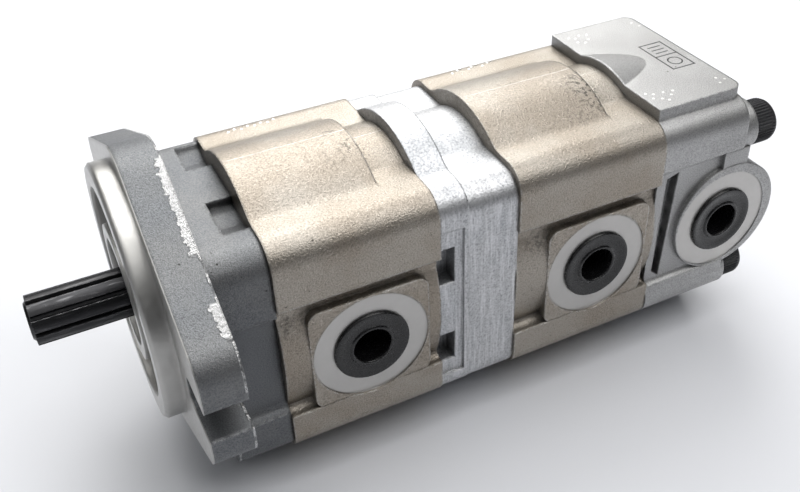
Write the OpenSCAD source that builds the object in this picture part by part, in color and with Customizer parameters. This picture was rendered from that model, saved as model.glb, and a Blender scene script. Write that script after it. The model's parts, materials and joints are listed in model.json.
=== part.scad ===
// Tandem hydraulic gear pump: a splined drive shaft turns two gear pairs in a row.
// X runs along the drive shaft, from the shaft end (-X) to the rear cover (+X).
// The outlet ports face -Y. The origin is where the shaft axis meets the mounting face.

/* [Mounting flange] */
// Diameter of the pilot spigot
pilot_d = 82.55; // [80:0.05:84]
// Height of the pilot spigot above the mounting face
pilot_h = 6.35; // [5:0.05:8]
// Distance between the two mounting slots
slot_spacing = 106.4; // [104:0.1:108]
// Width of each mounting slot
slot_w = 11.1; // [10:0.1:12]
// Thickness of the flange plate
flange_t = 12.5; // [11:0.5:14]

/* [Housing] */
// Length of the front cover behind the mounting face
front_len = 30.5; // [29:0.5:34]
// Length of the first pump body
body_1_len = 54; // [52:0.5:60]
// Length of the plate between the two bodies
plate_len = 28.5; // [27:0.5:32]
// Length of the second pump body
body_2_len = 57; // [55:0.5:62]
// Length of the rear cover under its top pad
rear_len = 35.5; // [34:0.5:38]
// Half the width of the housing
half_w = 39; // [38:0.5:41]
// Height of the bolt ledges above the shaft axis
ledge_top = 28; // [27:0.5:29]
// Depth of the lower bolt ledges below the shaft axis
ledge_low = 56; // [55:0.5:58]
// Radius of the rounded back over the drive gear
hump_r = 35.6; // [34.5:0.1:36.5]

/* [Gears] */
// Distance between the drive shaft and the driven shaft
centre_d = 38; // [38:0.5:38.5]
// Teeth on each gear
teeth = 12; // [12:1:14]
// Outer radius of the gears
gear_r = 22; // [21.5:0.1:22]
// Width of the gears in the first body
gear_1_w = 26; // [22:0.5:28]
// Width of the gears in the second body
gear_2_w = 24; // [20:0.5:28]
// Radius of the gear journals
journal_r = 9.5; // [9:0.1:10]

/* [Shaft end] */
// Outer diameter of the splined shaft end
spline_d = 15.875; // [15:0.005:16.5]
// Teeth on the splined shaft end
spline_teeth = 9; // [8:1:10]
// Reach of the shaft in front of the mounting face
shaft_reach = 35; // [33:0.5:38]

/* [Ports] */
// Radius of the threaded port wall
port_r = 12.1; // [11.8:0.05:12.2]
// Diameter of the machined spot face round a port
spot_d = 40; // [39:0.5:41]
// Radius of the threaded inlet wall
inlet_r = 15.2; // [15:0.05:15.4]
// Diameter of the machined spot face round an inlet
inlet_spot_d = 46; // [45:0.5:47]

/* [Hidden] */
$fn = 48;
eps = 0.5;              // overrun of a cutter past the face it opens
run_fit = 0.05;         // radial gap of the gears in their chamber
side_fit = 0.05;        // gap on each side of a gear
journal_fit = 0.03;     // radial gap of a journal in its bush

front_end = front_len;
body_1_end = front_end + body_1_len;
plate_end = body_1_end + plate_len;
body_2_end = plate_end + body_2_len;
pad_end = body_2_end + rear_len;
top_seat_x = pad_end + 5.3;         // faces that the upper bolt heads rest on
low_seat_x = pad_end + 2;           // faces that the lower bolt heads rest on

port_z = -centre_d / 2 - 0.8;       // height of the ports
port_1_x = 59.6;
port_2_x = 145.6;
port_3_x = 201;
inlet_1_x = front_end + body_1_len / 2;
inlet_2_x = plate_end + body_2_len / 2;

corner_r = 9.1;                     // rounding of the housing corners
saddle_r = 8;                       // fillet between the round back and the bolt ledges
waist_y = 34.5;                     // half width in the hollows above and below the ports
crest_y = 38.5;                     // half width of the bulge level with the ports
crest_r = 52;
low_hump_r = 34.5;                  // rounded belly under the driven gear
foot_z = -70;                       // flat foot machined along the belly
chamber_r = gear_r + run_fit;
bolt_y = 30.5;
bolt_top_z = 13.5;
bolt_low_z = -46.5;
bolt_r = 5;
bolt_hole_r = 5.3;
bolt_head_r = 8;
bolt_head_h = 10;
bolt_tip_x = 10;
dowel_r = 3;
dowel_len = 12;
dowel_y = 29;
dowel_z = -17;
pilot_r = pilot_d / 2;

// Rounded corners of the flange outline: height, distance from the shaft and radius
flange_top_z = 23;
flange_top_r = 25;
flange_ear_y = 57;
flange_ear_z = [-9.7, 12.5];        // lower and upper corner of an ear
flange_ear_r = 10;

neck_w = 37.8;                      // half width of the front cover behind the flange
neck_top = 27.3;
neck_pocket_x = 22.3;

body_step_len = 13;                 // low end of the back of each body
body_step_r = 31.6;
plate_band_len = 10.5;              // high front end of the middle plate
pad_top = 32;                       // flat pad on the rear cover

seal_bore_r = 17.5;
seal_bore_x = 9;                    // floor of the shaft seal bore
seal_r = 17.5;
seal_w = 8;
snap_w = 1.6;
snap_r = 18.6;

block_1_w = (body_1_len - gear_1_w) / 2 - side_fit;
block_2_w = (body_2_len - gear_2_w) / 2 - side_fit;
gear_1_x = front_end + block_1_w + side_fit;
gear_2_x = plate_end + block_2_w + side_fit;
liner_r = journal_r + journal_fit;
liner_t = 2;
journal_gap = 0.6;                  // a journal ends this far inside its bush block
seal_groove_w = 1.6;
seal_groove_d = 1.8;
seal_ring_r = 23.2;                 // inner radius of a face seal
press_groove_d = 1.5;
press_ring_r = 15.5;

coupling_r = 11;
coupling_len = 22;
coupling_bore_r = 12;
coupling_x = (body_1_end + plate_end) / 2;
spline_depth = 1.5;                 // of the grooves in the shaft end
stub_r = 7;                         // splined stubs inside the coupling
stub_gap = 0.15;

plug_entry_d = 6;                   // smooth entry in front of the port thread
port_thread_len = 9.6;
gallery_r = 3.5;                    // drilling that feeds the port of the rear cover
gallery_y = -8;
inlet_thread_len = 9.6;

// ---------- helpers ----------

// Extrudes an outline drawn in (Y, Z) along X, from x0 over the length len
module along_x(x0, len)
    translate([x0, 0, 0]) rotate([90, 0, 90]) linear_extrude(len) children();

// Cylinder along X
module rod_x(x0, len, r, y = 0, z = 0)
    translate([x0, y, z]) rotate([0, 90, 0]) cylinder(h = len, r = r);

// Cylinder along Y that starts at y0 and runs towards +Y
module rod_y(y0, len, r, x, z)
    translate([x, y0, z]) rotate([-90, 0, 0]) cylinder(h = len, r = r);

// Rectangle from (u0, v0) to (u1, v1) with round corners
module round_box(u0, v0, u1, v1, r) {
    translate([u0 + r, v0]) square([u1 - u0 - 2 * r, v1 - v0]);
    translate([u0, v0 + r]) square([u1 - u0, v1 - v0 - 2 * r]);
    for (u = [u0 + r, u1 - r], v = [v0 + r, v1 - r]) translate([u, v]) circle(r);
}

// Figure-eight outline round both gear axes
module eight(r) {
    circle(r);
    translate([0, -centre_d]) circle(r);
}

// Two circles and the band that touches both
module strap(a, ra, b, rb) {
    along = atan2(b[1] - a[1], b[0] - a[0]);
    lean = acos((ra - rb) / norm(b - a));
    polygon([a + polar(ra, along + lean), b + polar(rb, along + lean),
        b + polar(rb, along - lean), a + polar(ra, along - lean)]);
    translate(a) circle(ra);
    translate(b) circle(rb);
}

// Keeps what lies above the flat foot
module on_foot()
    intersection() {
        children();
        translate([-60, foot_z]) square([120, 120]);
    }

// Round back of radius r on ledges at height top, joined by a fillet of radius f
module saddle(r, top, f) {
    y = sqrt(pow(r + f, 2) - pow(top + f, 2));
    k = r / (r + f);
    circle(r);
    for (s = [-1, 1]) difference() {
        polygon([[s * y * k, (top + f) * k], [s * y, top], [s * y, top - 8], [s * (y * k - 6), top - 8]]);
        translate([s * y, top + f]) circle(f);
    }
}

// Block with rounded corners and a round belly
module block_outline(half, top)
    on_foot() {
        round_box(-half, -ledge_low, half, top, corner_r);
        translate([0, -centre_d]) circle(low_hump_r);
    }

// Hollows cut along both sides between the ledges, y deep inside the block
module waist_cut(y, z0, z1)
    for (s = [0, 1]) mirror([s, 0]) round_box(y, z0, 60, z1, 3);

// Pump body outline: ledges, round back, waisted sides with a bulge level with the ports
module housing_outline()
    on_foot() {
        difference() {
            block_outline(half_w, ledge_top);
            waist_cut(waist_y, -38.5, 5.5);
        }
        saddle(hump_r, ledge_top, saddle_r);
        intersection_for(s = [-1, 1])
            translate([s * (crest_r - crest_y), -17]) circle(crest_r);
    }

// The four bolt positions
module at_bolts()
    for (y = [-bolt_y, bolt_y], z = [bolt_top_z, bolt_low_z]) translate([0, y, z]) children();

// The two dowel positions of a joint face at x
module at_dowels(x)
    for (y = [-dowel_y, dowel_y]) translate([x, y, dowel_z]) children();

module bolt_holes(x0, len) at_bolts() rod_x(x0, len, bolt_hole_r);

module dowel_holes(x) at_dowels(x) rod_x(-dowel_len / 2, dowel_len, dowel_r);

// Ring outline that a face seal follows round the gear chamber
module face_seal_outline()
    difference() {
        eight(seal_ring_r + seal_groove_w);
        eight(seal_ring_r);
    }

// ---------- gears ----------

pitch_r = centre_d / 2;
pressure_angle = 24;
backlash = 0.3;                     // gap between the flanks along the pitch circle
base_r = pitch_r * cos(pressure_angle);
root_r = centre_d - gear_r - 0.6;
flank_steps = 6;

function involute_deg(r) = let (a = acos(base_r / r)) tan(a) * 180 / PI - a;
half_tooth_deg = 90 / teeth - backlash / 4 / pitch_r * 180 / PI;
// Half the angle of a tooth at radius r
function half_deg(r) = half_tooth_deg + involute_deg(pitch_r) - involute_deg(max(r, base_r));
function polar(r, a) = [r * cos(a), r * sin(a)];
flank_radii = [for (i = [0 : flank_steps]) base_r + (gear_r - base_r) * i / flank_steps];

// Outline of a gear whose first tooth points along the angle turn
module gear_outline(turn) {
    polygon([for (t = [0 : teeth - 1]) let (c = turn + 360 * t / teeth) each concat(
        [polar(root_r, c - half_deg(base_r))],
        [for (r = flank_radii) polar(r, c - half_deg(r))],
        [for (i = [flank_steps : -1 : 0]) polar(flank_radii[i], c + half_deg(flank_radii[i]))],
        [polar(root_r, c + half_deg(base_r))])]);
}

// Gear with both journals, z is the height of its axis
module gear_on_journals(x, w, block_w, z, turn) {
    journal_len = block_w + side_fit - journal_gap;
    translate([0, 0, z]) {
        along_x(x, w) gear_outline(turn);
        rod_x(x - journal_len, w + 2 * journal_len, journal_r);
    }
}

// Outline of a splined shaft with straight-sided teeth; land is the share of the pitch that a tooth fills
module spline_outline(outer_r, count, depth, land = 0.48) {
    half_tooth = outer_r * sin(180 * land / count);
    circle(outer_r - depth);
    for (i = [0 : count - 1]) rotate(360 * i / count)
        intersection() {
            circle(outer_r);
            translate([0, -half_tooth]) square([outer_r, 2 * half_tooth]);
        }
}

module drive_gear_1() color([0.32, 0.32, 0.33]) {
    gear_on_journals(gear_1_x, gear_1_w, block_1_w, 0, -90);
    rod_x(-2, front_end + 4, journal_r);
    along_x(0.8 - shaft_reach, shaft_reach - 2.8)
        spline_outline(spline_d / 2, spline_teeth, spline_depth, 0.68);
    translate([-shaft_reach, 0, 0]) rotate([0, 90, 0])
        cylinder(h = 0.8, r1 = spline_d / 2 - 2.2, r2 = spline_d / 2 - spline_depth);
    along_x(body_1_end - 1, coupling_x - body_1_end) spline_outline(stub_r, 8, 1.4);
}

module driven_gear_1() color([0.42, 0.42, 0.43])
    gear_on_journals(gear_1_x, gear_1_w, block_1_w, -centre_d, 90 + 180 / teeth);

module drive_gear_2() color([0.42, 0.42, 0.43]) {
    gear_on_journals(gear_2_x, gear_2_w, block_2_w, 0, -90);
    along_x(coupling_x + 1, plate_end - coupling_x) spline_outline(stub_r, 8, 1.4);
}

module driven_gear_2() color([0.42, 0.42, 0.43])
    gear_on_journals(gear_2_x, gear_2_w, block_2_w, -centre_d, 90 + 180 / teeth);

// Sleeve that joins the two drive shafts, splined inside
module spline_coupling() color([0.35, 0.35, 0.36])
    along_x(coupling_x - coupling_len / 2, coupling_len)
        difference() {
            circle(coupling_r);
            circle(stub_r - 1.4 + stub_gap);
            for (i = [0 : 7]) rotate(360 * i / 8)
                intersection() {
                    circle(stub_r + stub_gap);
                    translate([0, -stub_r * sin(86 / 8) - stub_gap])
                        square([stub_r + 1, 2 * (stub_r * sin(86 / 8) + stub_gap)]);
                }
        }

// ---------- bearings and seals ----------

// Bush block: carries one end of both gears, with a seal groove on its outer face
module bush_block(x, w, groove_x) color([0.78, 0.79, 0.78])
    difference() {
        along_x(x, w) eight(chamber_r);
        for (z = [0, -centre_d]) rod_x(x - eps, w + 2 * eps, liner_r + liner_t, 0, z);
        pressure_seal_solid(groove_x);
    }

// One pressure-balance seal: the high-pressure half of a figure-eight ring
module pressure_seal_solid(x)
    along_x(x, press_groove_d)
        intersection() {
            difference() {
                eight(press_ring_r + 2);
                eight(press_ring_r);
            }
            translate([-30, -centre_d - 30]) square([38, centre_d + 60]);
        }

module pressure_seals(x_front, x_rear) color([0.1, 0.1, 0.1]) {
    pressure_seal_solid(x_front);
    pressure_seal_solid(x_rear - press_groove_d);
}

module bush_block_1_front() bush_block(front_end, block_1_w, front_end);
module bush_block_1_rear() bush_block(body_1_end - block_1_w, block_1_w, body_1_end - press_groove_d);
module bush_block_2_front() bush_block(plate_end, block_2_w, plate_end);
module bush_block_2_rear() bush_block(body_2_end - block_2_w, block_2_w, body_2_end - press_groove_d);
module pressure_seals_1() pressure_seals(front_end, body_1_end);
module pressure_seals_2() pressure_seals(plate_end, body_2_end);

// Four plain bushes that line the two bush blocks of one body
module journal_bushes(x_front, x_rear, block_w) color([0.72, 0.55, 0.3])
    for (x = [x_front, x_rear - block_w], z = [0, -centre_d])
        along_x(x, block_w) translate([0, z]) difference() {
            circle(liner_r + liner_t);
            circle(liner_r);
        }

module journal_bushes_1() journal_bushes(front_end, body_1_end, block_1_w);
module journal_bushes_2() journal_bushes(plate_end, body_2_end, block_2_w);

// Two face seals, one in the groove at each end of a body
module face_seals(x_front, x_rear) color([0.08, 0.08, 0.08])
    for (x = [x_front, x_rear - seal_groove_d])
        along_x(x, seal_groove_d) face_seal_outline();

module face_seals_1() face_seals(front_end, body_1_end);
module face_seals_2() face_seals(plate_end, body_2_end);

// Rotary lip seal in the front cover
module shaft_seal() color([0.12, 0.12, 0.12])
    translate([seal_bore_x - seal_w, 0, 0]) rotate([90, 0, 90]) rotate_extrude()
        polygon([[seal_r, 0], [seal_r, seal_w], [12.5, seal_w], [12.5, 2.4], [journal_r + 0.1, 5.2],
            [journal_r + 0.1, 4.2], [11.5, 0]]);

// Internal snap ring in front of the seal
module seal_snap_ring() color([0.25, 0.25, 0.27])
    along_x(seal_bore_x - seal_w - snap_w, snap_w)
        difference() {
            circle(snap_r);
            circle(seal_bore_r - 2.5);
            translate([0, -4]) square([30, 8]);
            for (a = [-24, 24]) rotate(a) translate([seal_bore_r - 1, 0]) circle(0.8);
        }

// ---------- housing ----------

// Flange outline: four straight sides between round corners, open slots in the ears
module flange_outline()
    difference() {
        union() {
            for (side = [0, 1]) mirror([side, 0]) {
                for (k = [0, 1]) strap([0, (2 * k - 1) * flange_top_z], flange_top_r,
                    [flange_ear_y, flange_ear_z[k]], flange_ear_r);
                polygon([[0, flange_top_z], [flange_ear_y, flange_ear_z[1]],
                    [flange_ear_y, flange_ear_z[0]], [0, -flange_top_z]]);
                translate([0, flange_ear_z[0]])
                    square([flange_ear_y + flange_ear_r, flange_ear_z[1] - flange_ear_z[0]]);
            }
        }
        for (s = [0, 1]) mirror([s, 0]) {
            translate([slot_spacing / 2, 0]) circle(slot_w / 2);
            translate([slot_spacing / 2, -slot_w / 2]) square([30, slot_w]);
        }
    }

module front_cover() color([0.72, 0.74, 0.76])
    difference() {
        union() {
            along_x(0, flange_t) flange_outline();
            along_x(flange_t - eps, front_len - flange_t + eps) difference() {
                block_outline(neck_w, neck_top);
                waist_cut(34.8, -37, 3);
            }
            rod_x(-pilot_h + 1, pilot_h, pilot_r);
            translate([-pilot_h, 0, 0]) rotate([0, 90, 0]) cylinder(h = 1, r1 = pilot_r - 1, r2 = pilot_r);
        }
        // recess inside the pilot ring, with a hub left standing round the shaft
        along_x(-pilot_h - eps, 5 + eps) difference() {
            circle(34);
            circle(22);
        }
        rod_x(-pilot_h - eps, seal_bore_x + pilot_h + eps, seal_bore_r);
        rod_x(seal_bore_x - seal_w - snap_w, snap_w, snap_r);
        rod_x(0, front_len + eps, journal_r + 0.6);
        at_bolts() rod_x(bolt_tip_x, front_len, bolt_r);
        dowel_holes(front_end);
        // casting pockets on both sides of the pad on top of the neck
        along_x(neck_pocket_x, front_len) {
            polygon([[-5.4, 32], [-5.4, 24.4], [-9, 24.3], [-15, 23.3], [-23, 25.9], [-25, 32]]);
            polygon([[14.6, 32], [14.6, 24.3], [24, 23], [29, 25.2], [33, 32]]);
        }
    }

// Machined port: spot face, smooth entry for the plug, thread and gallery to the chamber
module port_cut(x, side, r, spot_r, thread_len, z = port_z) {
    mirror([0, side > 0 ? 1 : 0, 0]) {
        rod_y(-half_w - 3, 3 + 0.8, spot_r, x, z);
        rod_y(-half_w, plug_entry_d + 0.8, r + 0.5, x, z);
        rod_y(-half_w, plug_entry_d + 0.8 + thread_len, r, x, z);
        rod_y(-half_w, half_w - 6, r - 3, x, z);
    }
}

// Pump body: gear chamber, outlet at -Y, inlet at +Y
module pump_body(x, len, port_x, inlet_x)
    difference() {
        union() {
            along_x(x, len) housing_outline();
            translate([port_x, -half_w + 8, port_z]) rotate([90, 0, 0]) linear_extrude(7.8)
                round_box(-20.5, -19.6, 20.5, 20.4, 4);
            translate([inlet_x, half_w - 0.2, port_z]) rotate([90, 0, 0]) linear_extrude(7.8)
                round_box(-23.5, -22, 23.5, 23, 4);
        }
        // low end of the back, next to the rear joint
        along_x(x + len - body_step_len, body_step_len + eps) difference() {
            translate([-26, ledge_top]) square([52, 20]);
            circle(body_step_r);
        }
        along_x(x - eps, len + 2 * eps) eight(chamber_r);
        port_cut(port_x, -1, port_r, spot_d / 2, port_thread_len);
        port_cut(inlet_x, 1, inlet_r, inlet_spot_d / 2, inlet_thread_len);
        bolt_holes(x - eps, len + 2 * eps);
        dowel_holes(x);
        dowel_holes(x + len);
        along_x(x - eps, seal_groove_d + eps) face_seal_outline();
        along_x(x + len - seal_groove_d, seal_groove_d + eps) face_seal_outline();
    }

module body_1() color([0.66, 0.62, 0.56]) pump_body(front_end, body_1_len, port_1_x, inlet_1_x);
module body_2() color([0.66, 0.62, 0.56]) pump_body(plate_end, body_2_len, port_2_x, inlet_2_x);

module middle_plate() color([0.76, 0.77, 0.78])
    difference() {
        union() {
            along_x(body_1_end, plate_len) {
                block_outline(38, 26);
                circle(30);
            }
            along_x(body_1_end, plate_band_len) {
                block_outline(38.3, 27.2);
                saddle(35.8, 27.2, saddle_r);
            }
        }
        rod_x(body_1_end - eps, plate_len + 2 * eps, coupling_bore_r);
        bolt_holes(body_1_end - eps, plate_len + 2 * eps);
        dowel_holes(body_1_end);
        dowel_holes(plate_end);
        for (s = [0, 1]) mirror([0, s, 0]) {
            // low strip and two casting pockets next to the first body
            translate([body_1_end - eps, 37.2, -46]) cube([8.7 + eps, 4, 60.5]);
            for (z = [[-6.7, 7.4], [-40.2, -28.2]])
                translate([body_1_end - eps, 31, z[0]]) cube([5.7 + eps, 9, z[1] - z[0]]);
        }
    }

module rear_cover() color([0.74, 0.75, 0.76])
    difference() {
        union() {
            along_x(body_2_end, rear_len) difference() {
                block_outline(half_w, ledge_top);
                waist_cut(36.8, -40, 10.2);
            }
            // round back that runs out into the flat pad
            translate([body_2_end, 0, 0]) rotate([0, 90, 0]) cylinder(h = 20, r1 = 34.6, r2 = pad_top - 0.3);
            translate([0, 0, 20]) linear_extrude(pad_top - 20) difference() {
                round_box(body_2_end - 10, -33, pad_end, 32.5, 4);
                translate([body_2_end - 20, -40]) square([20, 80]);
            }
            for (y = [-bolt_y, bolt_y]) {
                rod_x(body_2_end, top_seat_x - body_2_end, 9.4, y * 0.97, bolt_top_z + 0.8);
                rod_x(body_2_end, low_seat_x - body_2_end, 9, y, bolt_low_z);
            }
            rod_y(-half_w + 0.4, half_w + 10, 22.2, port_3_x + 1.7, port_z + 0.9);
            rod_x(body_2_end, top_seat_x - body_2_end, 26, 0, port_z);
            translate([198, -38.4, -1]) cube([11, 10, 10.5]);
        }
        port_cut(port_3_x, -1, port_r, spot_d / 2, port_thread_len);
        rod_x(body_2_end - eps, port_3_x - body_2_end, gallery_r, gallery_y, port_z);
        at_bolts() rod_x(body_2_end - eps, 60, bolt_hole_r);
        for (y = [-bolt_y, bolt_y]) rod_x(low_seat_x, 20, bolt_head_r + 0.7, y, bolt_low_z);
        dowel_holes(body_2_end);
        // narrow casting pocket between the joint face and the port boss
        translate([0, -33, 0]) rotate([90, 0, 0]) linear_extrude(8)
            polygon([[174, 5.5], [179, 7], [176.4, -38], [173, -35]]);
    }

// ---------- fasteners ----------

module dowel_pins() color([0.6, 0.6, 0.62])
    for (x = [front_end, body_1_end, plate_end, body_2_end])
        at_dowels(x) rod_x(-dowel_len / 2, dowel_len, dowel_r);

// Long socket-head screws that clamp the whole stack
module through_bolts() color([0.13, 0.13, 0.14])
    for (row = [[bolt_top_z, top_seat_x], [bolt_low_z, low_seat_x]], y = [-bolt_y, bolt_y])
        translate([row[1], y, row[0]]) difference() {
            union() {
                rod_x(bolt_tip_x - row[1], row[1] - bolt_tip_x, bolt_r);
                rod_x(0, bolt_head_h, bolt_head_r);
            }
            translate([bolt_head_h - 5, 0, 0]) rotate([0, 90, 0]) cylinder(h = 5 + eps, r = 4.62, $fn = 6);
        }

// ---------- shipping plugs ----------

// Hollow plug in a port of radius r; side is -1 for a port on the -Y face
module port_plug(x, r, side) color([0.09, 0.09, 0.1])
    mirror([0, side > 0 ? 1 : 0, 0]) translate([x, -half_w + 0.8, port_z]) rotate([-90, 0, 0])
        rotate_extrude() polygon([[0.55 * r, -1.2], [r + 0.95, -1.2], [r + 0.95, 0], [r + 0.2, 0],
            [r + 0.2, plug_entry_d - 1], [0, plug_entry_d - 1], [0, plug_entry_d - 2.2],
            [0.55 * r, plug_entry_d - 2.2]]);

module outlet_plug_1() port_plug(port_1_x, port_r, -1);
module outlet_plug_2() port_plug(port_2_x, port_r, -1);
module rear_port_plug() port_plug(port_3_x, port_r, -1);
module inlet_plug_1() port_plug(inlet_1_x, inlet_r, 1);
module inlet_plug_2() port_plug(inlet_2_x, inlet_r, 1);

front_cover();
shaft_seal();
seal_snap_ring();
body_1();
middle_plate();
body_2();
rear_cover();
bush_block_1_front();
bush_block_1_rear();
bush_block_2_front();
bush_block_2_rear();
journal_bushes_1();
journal_bushes_2();
face_seals_1();
face_seals_2();
pressure_seals_1();
pressure_seals_2();
dowel_pins();
through_bolts();
drive_gear_1();
driven_gear_1();
drive_gear_2();
driven_gear_2();
spline_coupling();
outlet_plug_1();
outlet_plug_2();
rear_port_plug();
inlet_plug_1();
inlet_plug_2();
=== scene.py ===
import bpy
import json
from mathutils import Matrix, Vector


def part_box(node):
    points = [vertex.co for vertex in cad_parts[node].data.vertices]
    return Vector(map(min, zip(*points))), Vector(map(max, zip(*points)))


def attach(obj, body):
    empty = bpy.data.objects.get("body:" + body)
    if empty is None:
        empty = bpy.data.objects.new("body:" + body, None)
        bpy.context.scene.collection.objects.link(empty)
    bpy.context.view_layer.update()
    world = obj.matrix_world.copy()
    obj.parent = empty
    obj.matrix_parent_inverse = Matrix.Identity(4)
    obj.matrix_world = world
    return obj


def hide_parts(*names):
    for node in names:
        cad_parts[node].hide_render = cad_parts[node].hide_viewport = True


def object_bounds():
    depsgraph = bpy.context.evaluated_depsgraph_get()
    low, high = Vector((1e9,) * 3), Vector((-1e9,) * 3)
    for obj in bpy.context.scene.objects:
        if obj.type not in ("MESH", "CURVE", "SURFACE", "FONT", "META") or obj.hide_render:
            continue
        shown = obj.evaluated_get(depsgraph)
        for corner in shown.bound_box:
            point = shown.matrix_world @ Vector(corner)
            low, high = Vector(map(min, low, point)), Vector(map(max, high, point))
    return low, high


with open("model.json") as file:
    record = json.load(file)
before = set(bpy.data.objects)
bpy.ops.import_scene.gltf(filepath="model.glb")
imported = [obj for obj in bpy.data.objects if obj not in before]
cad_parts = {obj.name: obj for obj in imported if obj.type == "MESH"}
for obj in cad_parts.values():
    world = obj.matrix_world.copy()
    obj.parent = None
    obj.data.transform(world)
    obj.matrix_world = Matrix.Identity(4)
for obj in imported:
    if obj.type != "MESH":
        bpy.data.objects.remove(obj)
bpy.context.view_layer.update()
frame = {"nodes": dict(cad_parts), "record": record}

import json
import math

import bmesh
import bpy
from mathutils import Matrix, Vector, noise

MM = 0.001
scene = bpy.context.scene
NODES = frame["nodes"]
OUTLET_PLUGS = ("outlet_plug_1", "outlet_plug_2", "rear_port_plug")
INLET_PLUGS = ("inlet_plug_1", "inlet_plug_2")
OUTLET_R, INLET_R = 12.1 * MM, 15.2 * MM              # radii of the ports
OUTLET_SPOT_R, INLET_SPOT_R = 20 * MM, 23 * MM        # radii of the machined faces round them
SPOT_Y = 38.2 * MM                                    # how far those faces stand from the middle plane
PAD_Z = 32 * MM                                       # flat top of the rear cover
LEDGE_Z = 28 * MM                                     # bolt ledges of the pump bodies
REAR_STEP = 13 * MM                                   # length of the lower step at a body's rear end
REAR_STEP_R = 31.6 * MM                               # crown radius of that step
FLANGE_X = 12.5 * MM                                  # rear face of the mounting flange

LENS_MM, SENSOR_MM = 43.44, 36.0
LENS_SHIFT = (-0.0328, -0.0214)
EYE = (-0.02368, -0.24774, 0.19291)
LOOK = (0.35527, 0.71877, -0.59762)
LOOK_RIGHT = (0.88993, -0.45570, -0.01903)

WORLD_STRENGTH = 0.6
HORIZON = ((0.35, 0.06), (0.60, 0.30), (0.80, 0.80))  # height on the world ramp, grey level
FLOOR_COLOUR = (0.63, 0.64, 0.67, 1)
LAMPS = (   # name, place, point it looks at, diameter, watts, colour
    ("ceiling", (0.0, 0.10, 0.85), (0.1, 0, 0), 0.6, 3.4, (1.0, 0.995, 0.985)),
    ("back", (0.295, 0.60, 0.55), (0.10, 0, 0.02), 0.84, 8.3, (1.0, 0.99, 0.97)),
    ("front_top", (0.42, -0.33, 0.76), (0.1, 0, 0.02), 0.65, 3.8, (1.0, 0.99, 0.98)),
    ("side", (-0.65, -0.30, 0.45), (0.1, 0, 0), 0.4, 0.5, (0.96, 0.98, 1.0)),
)


def centre(node):
    low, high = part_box(node)
    return (low + high) / 2


# ---------- camera, floor and light ----------

def add_camera():
    data = bpy.data.cameras.new("camera")
    data.sensor_width = SENSOR_MM
    data.lens = LENS_MM
    data.shift_x, data.shift_y = LENS_SHIFT
    data.clip_start = 0.01
    data.dof.use_dof = False
    cam = bpy.data.objects.new("camera", data)
    scene.collection.objects.link(cam)
    forward = Vector(LOOK).normalized()
    right = Vector(LOOK_RIGHT)
    right = (right - forward * right.dot(forward)).normalized()
    up = right.cross(forward)
    turn = Matrix((right, up, -forward)).transposed().to_4x4()
    cam.matrix_world = Matrix.Translation(EYE) @ turn
    scene.camera = cam


def add_area(name, at, look, size, watts, colour):
    data = bpy.data.lights.new(name, "AREA")
    data.shape = "DISK"
    data.size = size
    data.energy = watts
    data.color = colour
    lamp = bpy.data.objects.new(name, data)
    scene.collection.objects.link(lamp)
    lamp.location = at
    lamp.rotation_euler = (Vector(look) - Vector(at)).to_track_quat("-Z", "Y").to_euler()


def add_studio():
    """World that darkens from the ceiling down to the horizon, for metal to reflect, and four round lamps."""
    world = bpy.data.worlds.new("studio")
    world.use_nodes = True
    tree = world.node_tree
    coord = tree.nodes.new("ShaderNodeTexCoord")
    split = tree.nodes.new("ShaderNodeSeparateXYZ")
    ramp = tree.nodes.new("ShaderNodeValToRGB")
    tree.links.new(coord.outputs["Generated"], split.inputs[0])
    tree.links.new(split.outputs["Z"], ramp.inputs[0])
    tree.links.new(ramp.outputs[0], tree.nodes["Background"].inputs["Color"])
    tree.nodes["Background"].inputs["Strength"].default_value = WORLD_STRENGTH
    bands = ramp.color_ramp.elements
    bands[0].position, bands[0].color = 0.0, (0.05, 0.053, 0.06, 1)
    bands[1].position, bands[1].color = 1.0, (1.0, 1.0, 1.0, 1)
    for position, shade in HORIZON:
        bands.new(position).color = (shade * 0.97, shade * 0.985, shade, 1)
    scene.world = world
    for lamp in LAMPS:
        add_area(*lamp)


def add_floor():
    low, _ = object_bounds()
    mesh = bpy.data.meshes.new("floor")
    mesh.from_pydata([(-3, -3, low.z), (3, -3, low.z), (3, 3, low.z), (-3, 3, low.z)], [], [(0, 1, 2, 3)])
    floor = bpy.data.objects.new("floor", mesh)
    scene.collection.objects.link(floor)
    mat = bpy.data.materials.new("floor")
    mat.use_nodes = True
    shader = mat.node_tree.nodes["Principled BSDF"]
    shader.inputs["Base Color"].default_value = FLOOR_COLOUR
    shader.inputs["Roughness"].default_value = 0.6
    mesh.materials.append(mat)


# ---------- material building blocks ----------

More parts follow.
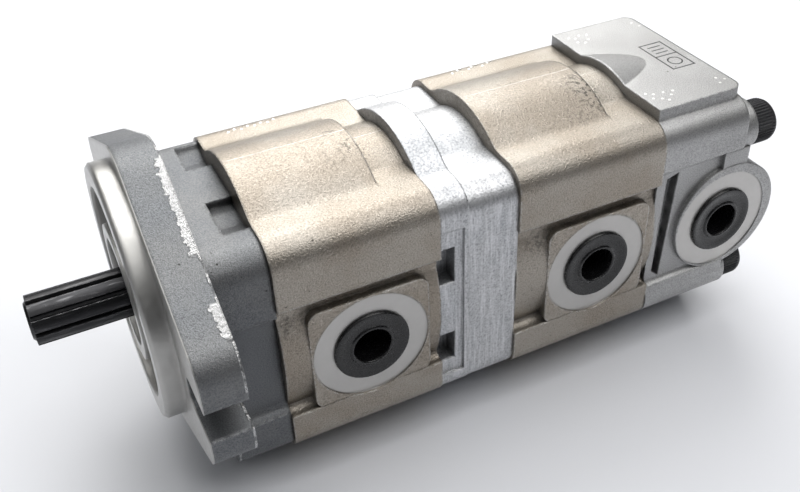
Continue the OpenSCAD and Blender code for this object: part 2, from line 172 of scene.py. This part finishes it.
class Shader:
    """A material under construction. Its methods add nodes and return the socket that carries the result."""

    def __init__(self, name):
        self.mat = bpy.data.materials.new(name)
        self.mat.use_nodes = True
        self.tree = self.mat.node_tree
        self.bsdf = self.tree.nodes["Principled BSDF"]
        self.at = self.new("TexCoord").outputs["Object"]
        self.facing = self.new("NewGeometry").outputs["Normal"]

    def new(self, kind, **settings):
        n = self.tree.nodes.new("ShaderNode" + kind)
        for key, value in settings.items():
            setattr(n, key, value)
        return n

    def put(self, socket, value):
        """Link a socket to the input, or set it to a constant."""
        if isinstance(value, bpy.types.NodeSocket):
            self.tree.links.new(value, socket)
        elif isinstance(value, (tuple, list)) and len(value) == 3 and socket.type == "RGBA":
            socket.default_value = (*value, 1)
        else:
            socket.default_value = value

    def math(self, op, a, b=0.0):
        n = self.new("Math", operation=op)
        self.put(n.inputs[0], a)
        self.put(n.inputs[1], b)
        return n.outputs[0]

    def vec(self, op, a, b):
        n = self.new("VectorMath", operation=op)
        self.put(n.inputs[0], a)
        self.put(n.inputs[1], b)
        return n.outputs["Value" if op in ("LENGTH", "DISTANCE", "DOT_PRODUCT") else "Vector"]

    def axis(self, vector, name):
        n = self.new("SeparateXYZ")
        self.put(n.inputs[0], vector)
        return n.outputs[name]

    def step(self, value, low, high, to_low=0.0, to_high=1.0):
        """Smooth step from to_low at low to to_high at high."""
        n = self.new("MapRange", interpolation_type="SMOOTHSTEP")
        for i, v in enumerate((value, low, high, to_low, to_high)):
            self.put(n.inputs[i], v)
        return n.outputs[0]

    def noise(self, grain, detail=2.0, stretch=(1, 1, 1), rough=0.5):
        """Noise whose blotches measure about `grain` metres."""
        where = self.vec("MULTIPLY", self.at, stretch)
        n = self.new("TexNoise")
        self.put(n.inputs["Vector"], where)
        self.put(n.inputs["Scale"], 1 / grain)
        self.put(n.inputs["Detail"], detail)
        self.put(n.inputs["Roughness"], rough)
        return n.outputs["Fac"]

    def cells(self, grain):
        """Distance from the nearest of points scattered about `grain` metres apart."""
        n = self.new("TexVoronoi")
        self.put(n.inputs["Vector"], self.at)
        self.put(n.inputs["Scale"], 1 / grain)
        return n.outputs["Distance"]

    def mix(self, amount, a, b):
        """Colour between a and b."""
        n = self.new("Mix", data_type="RGBA")
        self.put(n.inputs[0], amount)
        self.put(n.inputs[6], a)
        self.put(n.inputs[7], b)
        return n.outputs[2]

    def blend(self, amount, a, b):
        """Value between a and b."""
        n = self.new("Mix", data_type="FLOAT")
        self.put(n.inputs[0], amount)
        self.put(n.inputs[2], a)
        self.put(n.inputs[3], b)
        return n.outputs[0]

    def bump(self, height, depth, strength=1.0, normal=None):
        n = self.new("Bump")
        self.put(n.inputs["Height"], height)
        self.put(n.inputs["Distance"], depth)
        self.put(n.inputs["Strength"], strength)
        if normal is not None:
            self.put(n.inputs["Normal"], normal)
        return n.outputs["Normal"]

    def any(self, *masks):
        """The highest of the masks."""
        total = masks[0]
        for m in masks[1:]:
            total = self.math("MAXIMUM", total, m)
        return total

    def both(self, *masks):
        """The product of the masks."""
        total = masks[0]
        for m in masks[1:]:
            total = self.math("MULTIPLY", total, m)
        return total

    def band(self, value, low, high, soft):
        """1 between low and high, fading out over `soft`."""
        return self.both(self.step(value, low - soft, low), self.step(value, high, high + soft, 1.0, 0.0))

    def softened(self, radius):
        """Normal with the edges rounded to that radius, the edge itself, and how open the place is."""
        bevel = self.new("Bevel", samples=4)
        self.put(bevel.inputs["Radius"], radius)
        round_normal = bevel.outputs["Normal"]
        edge = self.step(self.vec("DOT_PRODUCT", round_normal, self.facing), 0.995, 0.88)
        ao = self.new("AmbientOcclusion", samples=4)
        self.put(ao.inputs["Distance"], 0.006)
        return round_normal, edge, ao.outputs["AO"]

    def distance_yz(self, y, z):
        """Distance from the line along X through (y, z)."""
        flat = self.vec("MULTIPLY", self.vec("SUBTRACT", self.at, (0, y, z)), (0, 1, 1))
        return self.vec("LENGTH", flat, (0, 0, 0))

    def distance_xz(self, x, z):
        """Distance from the line along Y through (x, z)."""
        flat = self.vec("MULTIPLY", self.vec("SUBTRACT", self.at, (x, 0, z)), (1, 0, 1))
        return self.vec("LENGTH", flat, (0, 0, 0))

    def finish(self, colour, metallic, roughness, normal=None, ior=None):
        self.put(self.bsdf.inputs["Base Color"], colour)
        self.put(self.bsdf.inputs["Metallic"], metallic)
        self.put(self.bsdf.inputs["Roughness"], roughness)
        if normal is not None:
            self.put(self.bsdf.inputs["Normal"], normal)
        if ior:
            self.bsdf.inputs["IOR"].default_value = ior
        return self.mat


def spot_faces(s, plugs, radius):
    """Mask of the machined ring round each port, and the distance from the nearest port's centre."""
    masks, nearest = [], None
    for plug in plugs:
        c = centre(plug)
        far = s.distance_xz(c.x, c.z)
        nearest = far if nearest is None else s.math("MINIMUM", nearest, far)
        masks.append(s.step(far, radius + 0.05 * MM, radius - 0.05 * MM))
    out = s.math("ABSOLUTE", s.axis(s.at, "Y"))
    flat = s.step(s.math("ABSOLUTE", s.axis(s.facing, "Y")), 0.97, 0.99)
    level = s.band(out, SPOT_Y - 0.05 * MM, SPOT_Y + 0.05 * MM, 0.05 * MM)
    return s.both(s.any(*masks), flat, level), nearest


def cast_metal(name, tint, warm, grain=0.9 * MM, roughness=0.42, relief=0.16 * MM, machined=None,
               streaks=None, worn=None, stains_and_shade=(), edge_r=1.2 * MM, edge_wear=1.0):
    """Cast aluminium: grain, slow changes of tint, pits, painted shade with some grime in the corners, and
    bright edges.

    machined(s) gives (mask, ridge height, colour) of turned or milled faces, worn(s) a mask of chipped bright
    metal, streaks(s) a mask of cutter marks, and the stain list gives (place, radius, strength) of dark
    patches:
    rubbed marks, and painted shade at shaded corners.
    """
    s = Shader(name)
    round_normal, edge, open_air = s.softened(edge_r)
    skin = s.noise(grain, 3.0, rough=0.6)
    slow = s.noise(26 * MM, 3.0)
    colour = s.mix(s.step(slow, 0.38, 0.66), tint, warm)
    colour = s.mix(s.step(skin, 0.40, 0.72, 0.0, 0.30), colour, [min(1, 2.0 * v) for v in warm])
    colour = s.mix(s.step(skin, 0.46, 0.26, 0.0, 0.42), colour, [0.25 * v for v in tint])
    pits = s.both(s.step(s.cells(5.2 * MM), 0.085, 0.04), s.step(s.noise(30 * MM), 0.50, 0.62))
    colour = s.mix(s.both(pits, 0.75), colour, (0.03, 0.028, 0.024))
    # Painted shade: corners and hollows found by ambient occlusion are darkened towards a dark warm tint,
    # broken up by noise, with some grime.
    grime_and_painted_shade = s.both(s.step(open_air, 0.80, 0.25), s.step(s.noise(4 * MM, 3), 0.25, 0.65, 0.35, 0.85))
    colour = s.mix(grime_and_painted_shade, colour, [0.16 * v for v in warm])
    rough = s.step(skin, 0.3, 0.7, roughness + 0.09, roughness - 0.07)
    # Dark patches from the stain list: rubbed marks, and painted shade where an entry sits in a shaded corner
    # beside a port boss.
    for place, radius, strength in stains_and_shade:
        near = s.step(s.vec("DISTANCE", s.at, place), radius, radius * 0.25)
        rubbed = s.both(near, s.step(s.noise(1.5 * MM, 4, rough=0.7), 0.50, 0.60), strength)
        colour = s.mix(rubbed, colour, (0.035, 0.033, 0.03))
    height = s.math("SUBTRACT", skin, s.both(pits, 0.8))
    normal = s.bump(height, relief, 0.9, round_normal)
    wear = s.both(edge, s.step(open_air, 0.62, 0.88), s.step(s.noise(1.6 * MM, 3), 0.36, 0.66), edge_wear)
    if worn is not None:
        chips = worn(s)
        wear = s.any(wear, chips)
        normal = s.bump(s.both(chips, s.noise(1.3 * MM, 4, rough=0.7)), 0.9 * MM, 0.9, normal)
    colour = s.mix(s.both(wear, 0.55), colour, (0.80, 0.80, 0.80))
    rough = s.blend(wear, rough, 0.27)
    if streaks is not None:
        marks = streaks(s)
        colour = s.mix(s.both(marks, 0.4), colour, (0.80, 0.80, 0.82))
        rough = s.blend(marks, rough, 0.33)
    if machined is not None:
        mask, rings, face = machined(s)
        colour = s.mix(mask, colour, s.mix(s.noise(9 * MM, 4), face, [0.86 * v for v in face]))
        rough = s.blend(mask, rough, s.step(s.noise(2 * MM, 3), 0.3, 0.7, 0.30, 0.40))
        turned = s.bump(rings, 0.02 * MM, 0.30, round_normal)
        chosen = s.new("Mix", data_type="VECTOR")
        s.put(chosen.inputs[0], mask)
        s.put(chosen.inputs[4], normal)
        s.put(chosen.inputs[5], turned)
        normal = chosen.outputs[1]
    return s.finish(colour, 0.86, rough, normal)


def rings_of(s, distance, pitch):
    """Turning marks: fine ridges around an axis."""
    return s.math("SINE", s.math("MULTIPLY", distance, 2 * math.pi / pitch))


# ---------- mesh building blocks ----------

def add_mesh(name, bm, material, body, smooth_deg=32):
    mesh = bpy.data.meshes.new(name)
    bmesh.ops.recalc_face_normals(bm, faces=bm.faces)
    for f in bm.faces:
        f.smooth = True
    for e in bm.edges:
        if len(e.link_faces) == 2 and e.calc_face_angle() > math.radians(smooth_deg):
            e.smooth = False
    bm.to_mesh(mesh)
    bm.free()
    mesh.materials.append(material)
    obj = bpy.data.objects.new(name, mesh)
    scene.collection.objects.link(obj)
    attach(obj, body)
    return obj


def lathe(bm, rows, place, segments=96):
    """Skin of revolution. rows are (radius or function of the angle, position along the axis);
    place turns (radius, angle, position) into a point. A radius of 0 closes the skin."""
    previous = None
    for radius, along in rows:
        ring = []
        if radius == 0:
            tip = bm.verts.new(place(0, 0, along))
            ring = [tip] * segments
        else:
            for i in range(segments):
                angle = 2 * math.pi * i / segments
                r = radius(angle) if callable(radius) else radius
                ring.append(bm.verts.new(place(r, angle, along)))
        if previous:
            for i in range(segments):
                j = (i + 1) % segments
                corners = []
                for v in (previous[i], previous[j], ring[j], ring[i]):
                    if v not in corners:
                        corners.append(v)
                if len(corners) > 2:
                    bm.faces.new(corners)
        previous = ring


def rounded(r, a, turn, size, steps=5):
    """Quarter round in the (r, along) plane: centre r, a and start angle turn, in degrees."""
    return [(r + size * math.cos(math.radians(turn + 90 * k / steps)),
             a + size * math.sin(math.radians(turn + 90 * k / steps))) for k in range(steps + 1)]


# ---------- materials of the pump ----------

def front_machined(s):
    """Turned front face and pilot ring of the front cover."""
    axis = s.distance_yz(0, 0)
    x = s.axis(s.at, "X")
    ring = s.both(s.step(axis, 42.2 * MM, 41.8 * MM), s.step(x, 1.2 * MM, 0.9 * MM))
    face = s.step(x, 0.35 * MM, 0.2 * MM)
    return s.any(ring, face), rings_of(s, axis, 0.5 * MM), (0.46, 0.455, 0.44)


def chipped_flange(s):
    """Bright metal where the flange's rim has lost its cast skin: two patches and a thin rear line."""
    x, y, z = (s.axis(s.at, n) for n in "XYZ")
    ragged = s.math("MULTIPLY", s.math("SUBTRACT", s.noise(2.2 * MM, 4, rough=0.65), 0.5), 6 * MM)
    start = s.math("ADD", 9.9 * MM, ragged)
    behind = s.both(s.step(s.math("SUBTRACT", x, start), 0.0, 0.3 * MM),
                    s.step(x, FLANGE_X + 0.1 * MM, FLANGE_X - 0.05 * MM))
    long_patch = s.both(s.band(y, -36 * MM, -7 * MM, 1.2 * MM), s.step(z, 25 * MM, 30 * MM))
    ear_patch = s.both(s.band(y, -60 * MM, -51 * MM, 1.0 * MM), s.step(z, 12 * MM, 14 * MM))
    thin_line = s.both(s.step(x, FLANGE_X - 0.8 * MM, FLANGE_X - 0.6 * MM),
                       s.step(x, FLANGE_X + 0.2 * MM, FLANGE_X), s.step(s.noise(3 * MM, 3), 0.42, 0.55))
    rim = s.step(s.math("ABSOLUTE", s.axis(s.facing, "X")), 0.7, 0.4)
    return s.both(s.any(s.both(behind, s.any(long_patch, ear_patch)), thin_line), rim)


def ported(s):
    """Spot faces of one body or cover: outlets on one side, inlets on the other."""
    y = s.axis(s.at, "Y")
    outlet, near_out = spot_faces(s, OUTLET_PLUGS, OUTLET_SPOT_R)
    inlet, near_in = spot_faces(s, INLET_PLUGS, INLET_SPOT_R)
    left = s.step(y, 1 * MM, -1 * MM)
    mask = s.any(s.both(outlet, left), s.both(inlet, s.step(y, -1 * MM, 1 * MM)))
    far = s.blend(left, near_in, near_out)
    return mask, rings_of(s, far, 0.42 * MM), (0.50, 0.49, 0.475)


def milled_streaks(s):
    """Upright cutter marks on the flat sides and lengthwise drag marks on the high band."""
    side = s.step(s.math("ABSOLUTE", s.axis(s.facing, "Y")), 0.75, 0.95)
    lines = s.noise(1.1 * MM, 3, (1, 1, 0.06), 0.7)
    up = s.step(s.axis(s.facing, "Z"), 0.3, 0.7)
    drag = s.both(up, s.step(s.noise(5 * MM, 4, (1.6, 0.35, 1)), 0.54, 0.80))
    return s.any(s.both(side, s.step(lines, 0.42, 0.66)), drag)


def machined_steel(name, tint, roughness, grain=0.7 * MM, stretch=(1, 1, 1), metallic=0.95,
                   wear=(0.8, 0.8, 0.8)):
    """Ground, oxidised or phosphated steel with brighter worn edges."""
    s = Shader(name)
    round_normal, edge, _ = s.softened(0.3 * MM)
    lines = s.noise(grain, 3, stretch, 0.65)
    slow = s.noise(8 * MM, 3)
    colour = s.mix(s.step(slow, 0.35, 0.7), tint, [min(1, v * 1.25) for v in tint])
    colour = s.mix(s.step(lines, 0.5, 0.78, 0, 0.3), colour, wear)
    rubbed = s.both(edge, s.step(s.noise(1.2 * MM, 3), 0.35, 0.62))
    colour = s.mix(s.both(rubbed, 0.65), colour, wear)
    rough = s.step(lines, 0.3, 0.7, roughness + 0.08, roughness - 0.06)
    normal = s.bump(lines, 0.03 * MM, 0.4, round_normal)
    return s.finish(colour, metallic, s.blend(rubbed, rough, 0.25), normal)


def moulded(name, tint, roughness, grain=0.5 * MM, relief=0.05 * MM):
    """Black plastic or rubber: fine moulded skin, dust and rubbed edges."""
    s = Shader(name)
    round_normal, edge, open_air = s.softened(0.35 * MM)
    skin = s.noise(grain, 3)
    dust = s.both(s.step(s.noise(2.6 * MM, 4, rough=0.7), 0.55, 0.78), s.step(open_air, 0.3, 0.8, 0.02, 0.06))
    colour = s.mix(s.step(s.noise(7 * MM), 0.35, 0.65), tint, [v * 1.7 for v in tint])
    colour = s.mix(dust, colour, (0.30, 0.30, 0.31))
    colour = s.mix(s.both(edge, 0.22), colour, (0.20, 0.20, 0.21))
    rough = s.step(skin, 0.3, 0.7, roughness + 0.10, roughness - 0.08)
    return s.finish(colour, 0.0, rough, s.bump(skin, relief, 0.5, round_normal), ior=1.48)


# Dark patches on the pump bodies: rubbed marks on the tops, and painted shade in the two entries at y = -38
# mm, beside the upper front corner of each port boss.
BODY_STAINS_AND_SHADE = tuple(((x * MM, y * MM, z * MM), radius * MM, strength) for x, y, z, radius, strength in (
    (71.5, -7, 34.5, 9, 0.7), (156, -9, 34, 11, 0.8), (155, -17, 30, 9, 0.6), (146, -20, 29, 8, 0.35),
    (66, 2, 35, 5, 0.5), (62, -10, 34, 6, 0.3), (35, -38, -2, 8, 0.5), (122, -38, -2, 8, 0.5)))

MATERIALS = {
    "front_casting": cast_metal("front_casting", (0.125, 0.131, 0.139), (0.15, 0.153, 0.156), 0.4 * MM, 0.44,
                                0.20 * MM, machined=front_machined, worn=chipped_flange, edge_r=1.8 * MM,
                                edge_wear=0.5),
    "body_casting": cast_metal("body_casting", (0.25, 0.218, 0.18), (0.31, 0.285, 0.25), 0.55 * MM, 0.33,
                               0.24 * MM, machined=ported, stains_and_shade=BODY_STAINS_AND_SHADE),
    "middle_casting": cast_metal("middle_casting", (0.37, 0.38, 0.395), (0.43, 0.435, 0.445), 0.7 * MM, 0.44,
                                 0.10 * MM, streaks=milled_streaks),
    "rear_casting": cast_metal("rear_casting", (0.30, 0.30, 0.298), (0.35, 0.35, 0.35), 0.4 * MM, 0.42,
                               0.12 * MM, machined=ported),
    "black_shaft": machined_steel("black_shaft", (0.028, 0.028, 0.03), 0.30, 0.8 * MM, (0.1, 1, 1), 0.75,
                                  (0.30, 0.30, 0.31)),
    "gear_steel": machined_steel("gear_steel", (0.44, 0.44, 0.45), 0.28, 0.5 * MM, (1, 0.2, 0.2)),
    "black_bolt": machined_steel("black_bolt", (0.022, 0.022, 0.024), 0.42, 0.6 * MM, (1, 1, 1), 0.6,
                                 (0.16, 0.16, 0.165)),
    "bearing_alloy": machined_steel("bearing_alloy", (0.60, 0.61, 0.62), 0.34, 0.6 * MM, (1, 0.3, 0.3)),
    "bush_bronze": machined_steel("bush_bronze", (0.55, 0.38, 0.19), 0.32, 0.5 * MM, (0.2, 1, 1), 0.95,
                                  (0.85, 0.70, 0.45)),
    "ring_steel": machined_steel("ring_steel", (0.16, 0.16, 0.17), 0.35),
    "pin_steel": machined_steel("pin_steel", (0.55, 0.55, 0.56), 0.22, 0.4 * MM, (0.1, 1, 1)),
    "seal_rubber": moulded("seal_rubber", (0.016, 0.016, 0.016), 0.62),
    "plug_plastic": moulded("plug_plastic", (0.0035, 0.0035, 0.004), 0.24, 0.6 * MM, 0.03 * MM),
}

for part in frame["record"]["subparts"]:
    skin = NODES[part["node"]].data.materials
    skin.clear()
    skin.append(MATERIALS[part["material_slot"]])


# ---------- the pieces ----------

def add_plug(node, side, port_r):
    """Shipping plug: rounded rim, dished face, raised lip and a cup with fine rings inside."""
    c = centre(node)
    rim, hub, cup = port_r + 0.9 * MM, port_r + 0.12 * MM, 0.53 * port_r
    top = 1.18 * MM
    tube = port_r - 1.4 * MM
    rows = [(0, -13.9 * MM), (tube - 0.8 * MM, -13.9 * MM), (tube, -13.1 * MM), (tube, -5.3 * MM),
            (hub - 0.3 * MM, -4.9 * MM), (hub, -4.6 * MM), (hub, 0.02 * MM), (rim, 0.02 * MM)]
    rows += rounded(rim - 0.5 * MM, top - 0.5 * MM, 0, 0.5 * MM)
    rows += [(rim - 1.5 * MM, top - 0.05 * MM), (0.86 * port_r, top - 0.42 * MM),
             (0.74 * port_r, top - 0.62 * MM), (cup + 1.5 * MM, top - 0.58 * MM),
             (cup + 1.1 * MM, top - 0.12 * MM), (cup + 0.8 * MM, top), (cup + 0.4 * MM, top - 0.02 * MM),
             (cup + 0.1 * MM, top - 0.25 * MM), (cup, top - 0.6 * MM)]
    depth, rings = 12.6 * MM, 20
    for k in range(1, rings):
        rows.append((cup - (0.12 * MM if k % 2 else 0), top - 0.6 * MM - depth * k / rings))
    rows += [(cup - 0.5 * MM, top - 0.75 * MM - depth), (0, top - 0.75 * MM - depth)]

    def place(r, angle, along):
        return (c.x + r * math.cos(angle), side * (SPOT_Y + along), c.z + r * math.sin(angle))

    bm = bmesh.new()
    lathe(bm, rows, place)
    piece = add_mesh(node + "_cap", bm, MATERIALS["plug_plastic"], node)
    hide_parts(node)


def add_bolts():
    """Four socket-head screws with knurled heads."""
    low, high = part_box("through_bolts")
    head_r, head_h, shank_r = 8 * MM, 10 * MM, 4.95 * MM
    rows_y = (low.y + head_r, high.y - head_r)
    seats = ((high.z - head_r, high.x - head_h), (low.z + head_r, high.x - head_h - 3.3 * MM))
    knurls, flats = 44, 8 * MM

    def ridged(depth):
        return lambda a: head_r - 0.02 * MM - depth * (0.5 - 0.5 * math.cos(knurls * a))

    def hexagon(a):
        return flats / 2 / math.cos((a + math.pi / 6) % (math.pi / 3) - math.pi / 6)

    bm = bmesh.new()
    for z, seat in seats:
        for y in rows_y:
            def place(r, angle, along):
                return (seat + along, y + r * math.cos(angle), z + r * math.sin(angle))
            tip = low.x - seat
            rows = [(0, tip), (shank_r - 1 * MM, tip), (shank_r, tip + 1 * MM), (shank_r, 0),
                    (head_r - 0.5 * MM, 0), (ridged(0.1 * MM), 0.4 * MM)]
            rows += [(ridged(0.45 * MM), (0.9 + 0.9 * k) * MM) for k in range(8)]
            rows += [(ridged(0.2 * MM), 8.3 * MM), (head_r - 0.35 * MM, 8.8 * MM)]
            rows += rounded(head_r - 1.6 * MM, head_h - 1.25 * MM, 10, 1.24 * MM, 5)[1:5]
            rows += [(head_r - 1.9 * MM, head_h), (5.0 * MM, head_h), (hexagon, head_h - 0.5 * MM),
                     (hexagon, head_h - 5 * MM), (0, head_h - 6.2 * MM)]
            lathe(bm, rows, place, knurls * 4)
    piece = add_mesh("socket_head_screws", bm, MATERIALS["black_bolt"], "housing", 40)
    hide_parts("through_bolts")


def strip(bm, points, width, height, across):
    """Low uneven bead along (point, outward direction) pairs; across is the unit vector over its width."""
    rows = []
    for p, out in points:
        w = width * (0.75 + 0.6 * noise.noise(Vector(p) * 900))
        h = height * (0.7 + 0.7 * noise.noise(Vector(p) * 700 + Vector((3, 1, 2))))
        row = []
        for k in (-0.6, -0.4, -0.2, 0, 0.2, 0.4, 0.6):
            lift = h * (1 - k * k * 4) if abs(k) < 0.5 else -0.05 * MM
            row.append(bm.verts.new(Vector(p) + across * (w * k) + out * lift))
        rows.append(row)
    for a, b in zip(rows, rows[1:]):
        for k in range(len(a) - 1):
            bm.faces.new((a[k], a[k + 1], b[k + 1], b[k]))


def add_parting_lines():
    """Flash left by the casting mould along the top of each pump body, lower on the step at its rear end."""
    s = Shader("flash_line")
    grain = s.noise(0.8 * MM, 3)
    flash = s.finish(s.mix(grain, (0.20, 0.18, 0.155), (0.62, 0.59, 0.55)), 0.85,
                     s.step(grain, 0.3, 0.7, 0.42, 0.28), s.bump(grain, 0.1 * MM, 0.6))
    for node in ("body_1", "body_2"):
        low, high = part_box(node)
        step_x = high.x - REAR_STEP
        for name, x0, x1, r in (("front", low.x + 0.8 * MM, step_x - 0.6 * MM, high.z),
                                ("rear", step_x + 0.8 * MM, high.x - 0.8 * MM, REAR_STEP_R)):
            bm = bmesh.new()
            points = []
            steps = max(6, int((x1 - x0) / (0.5 * MM)))
            for i in range(steps + 1):
                x = x0 + (x1 - x0) * i / steps
                y = 1.0 * MM + 0.25 * MM * noise.noise(Vector((x * 180, 0.5, 2)))
                z = math.sqrt(r * r - y * y)
                points.append(((x, y, z), Vector((0, y, z)).normalized()))
            strip(bm, points, 0.55 * MM, 0.13 * MM, Vector((0, 1, 0)))
            add_mesh(node + "_parting_line_" + name, bm, flash, "housing", 60)


def add_pad_mark():
    """Generic engraved badge on the rear cover's pad: a divided frame with bars and a ring."""
    s = Shader("engraved_line")
    grain = s.noise(0.5 * MM, 3)
    dark = s.finish(s.mix(grain, (0.02, 0.02, 0.022), (0.07, 0.07, 0.072)), 0.4,
                    s.step(grain, 0.3, 0.7, 0.6, 0.45), s.bump(grain, 0.05 * MM, 0.5))
    x0, x1, y0, y1, divide = 192.3 * MM, 201.7 * MM, -11.8 * MM, 8.2 * MM, -1.6 * MM
    bm = bmesh.new()

    def line(a, b, width=0.8 * MM):
        a, b = Vector((*a, PAD_Z)), Vector((*b, PAD_Z))
        along = (b - a).normalized()
        side = Vector((-along.y, along.x, 0)) * width / 2
        a, b = a - along * width / 2, b + along * width / 2
        lift = Vector((0, 0, 0.03 * MM))
        base = [bm.verts.new(p - lift) for p in (a - side, b - side, b + side, a + side)]
        a, b, side = a + along * width * 0.25, b - along * width * 0.25, side * 0.6
        top = [bm.verts.new(p + lift) for p in (a - side, b - side, b + side, a + side)]
        bm.faces.new(top)
        for i in range(4):
            bm.faces.new((base[i], base[(i + 1) % 4], top[(i + 1) % 4], top[i]))

    for a, b in (((x0, y0), (x1, y0)), ((x1, y0), (x1, y1)), ((x1, y1), (x0, y1)), ((x0, y1), (x0, y0)),
                 ((x0, divide), (x1, divide))):
        line(a, b)
    for k in range(3):
        y = divide + (2.4 + 2.4 * k) * MM
        line((x0 + 2.2 * MM, y), (x1 - 2.2 * MM, y), 0.75 * MM)
    ring_x, ring_y, ring_r, sides = (x0 + x1) / 2, (y0 + divide) / 2, 2.6 * MM, 20
    turns = [(ring_x + ring_r * math.cos(2 * math.pi * k / sides),
              ring_y + ring_r * math.sin(2 * math.pi * k / sides)) for k in range(sides + 1)]
    for a, b in zip(turns, turns[1:]):
        line(a, b, 0.7 * MM)
    add_mesh("pad_badge", bm, dark, "housing", 20)


def add_peened_dots():
    """Small bright craters with raised rims, at the corners of the pad and along the bodies' ledges."""
    s = Shader("peened_metal")
    grain = s.noise(0.4 * MM, 2)
    bright = s.finish(s.mix(grain, (0.42, 0.42, 0.41), (0.72, 0.72, 0.71)), 0.9,
                      s.step(grain, 0.3, 0.7, 0.40, 0.28), s.bump(grain, 0.04 * MM, 0.5))
    pad_dots = [(174, 27), (176, 25.6), (178.6, 27.2), (175, 22.5), (177.4, 21), (180, 22.8), (181.6, 26.4),
                (202.6, 26.5), (203.6, 23), (201, -24), (203.2, -26), (200, -27.4), (172.6, -21.5),
                (174.8, -23), (173, -25.4), (175.6, -26.8), (178.6, -23.4), (180, -26), (182.2, -24),
                (177.2, -28.6)]
    groups = (      # slot, height, centres in mm
        ("rear_casting", PAD_Z, pad_dots),
        ("body_casting", LEDGE_Z, [(126 + 2.1 * i + (i % 2) * 0.5, 30.5 + (i % 3) * 1.1) for i in range(9)]),
        ("body_casting", LEDGE_Z, [(41 + 2.3 * i, 30 + (i * i % 4) * 0.9) for i in range(8)]),
    )
    for number, (slot, z, spots) in enumerate(groups, 1):
        bm = bmesh.new()
        for x, y in spots:
            def place(r, angle, along):
                return (x * MM + r * math.cos(angle), y * MM + r * math.sin(angle), z + along)
            lathe(bm, [(0.55 * MM, -0.03 * MM), (0.45 * MM, 0.05 * MM), (0.33 * MM, 0.06 * MM),
                       (0.15 * MM, 0.02 * MM), (0, 0.015 * MM)], place, 14)
        add_mesh("peened_dots_%d" % number, bm, bright, "housing", 60)


scene.view_settings.view_transform = "Standard"
add_camera()
add_floor()
add_studio()
for plug in OUTLET_PLUGS:
    add_plug(plug, -1, OUTLET_R)
for plug in INLET_PLUGS:
    add_plug(plug, 1, INLET_R)
add_bolts()
add_parting_lines()
add_pad_mark()
add_peened_dots()
